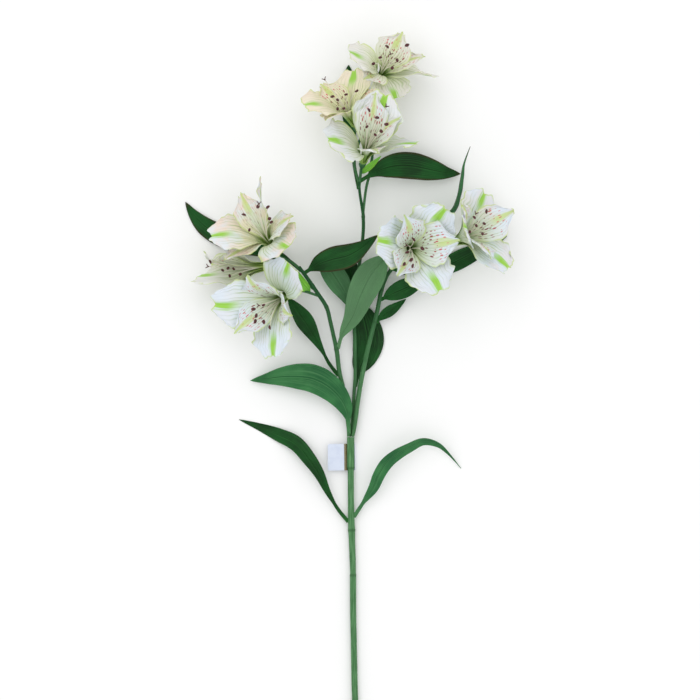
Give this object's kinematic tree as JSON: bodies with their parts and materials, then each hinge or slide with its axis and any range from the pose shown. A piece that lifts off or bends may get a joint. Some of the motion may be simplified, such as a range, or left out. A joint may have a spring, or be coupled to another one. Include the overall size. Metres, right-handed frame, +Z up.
{
  "type": "alstroemeria stem",
  "caption": "Cut alstroemeria spray lying flat: white lily-like blooms on forked green stalks with long pointed leaves.",
  "frame": {"origin": "centre of the bounding box in plan, on the surface that the spray lies on", "axes": "+Y along the stem from its cut end to the blooms, +X to the right seen from above, +Z up from the surface"},
  "size_m": [0.3276, 0.6852, 0.0959],
  "materials": {
    "petal_white": "soft matt",
    "stamen_maroon": "matt",
    "stem_green": "matt",
    "leaf_dark": "satin",
    "leaf_light": "satin",
    "label_paper": "matt paper"
  },
  "bodies": {
    "root": {"main_stem": "stem_green", "ray_left": "stem_green", "ray_middle": "stem_green", "ray_right": "stem_green", "bloom_top_back_petals": "petal_white", "bloom_top_back_stamens": "stamen_maroon", "bloom_top_left_petals": "petal_white", "bloom_top_left_stamens": "stamen_maroon", "bloom_top_front_petals": "petal_white", "bloom_top_front_stamens": "stamen_maroon", "bloom_left_upper_petals": "petal_white", "bloom_left_upper_stamens": "stamen_maroon", "bloom_left_middle_petals": "petal_white", "bloom_left_middle_stamens": "stamen_maroon", "bloom_left_lower_petals": "petal_white", "bloom_left_lower_stamens": "stamen_maroon", "bloom_right_front_petals": "petal_white", "bloom_right_front_stamens": "stamen_maroon", "bloom_right_side_petals": "petal_white", "bloom_right_side_stamens": "stamen_maroon", "leaf_over_middle": "leaf_dark", "leaf_middle_back": "leaf_light", "leaf_middle_upper": "leaf_dark", "leaf_foreground": "leaf_light", "leaf_left_inner": "leaf_dark", "leaf_behind_rays": "leaf_dark", "leaf_fork_sheath": "leaf_light", "leaf_right_upper": "leaf_dark", "leaf_right_lower": "leaf_dark", "leaf_low_left": "leaf_dark", "leaf_low_right": "leaf_light", "leaf_right_back": "leaf_dark", "leaf_right_upright": "leaf_light", "leaf_top_right": "leaf_dark", "leaf_top_back": "leaf_dark", "leaf_far_left": "leaf_dark", "blank_label": "label_paper"}
  },
  "joints": []
}
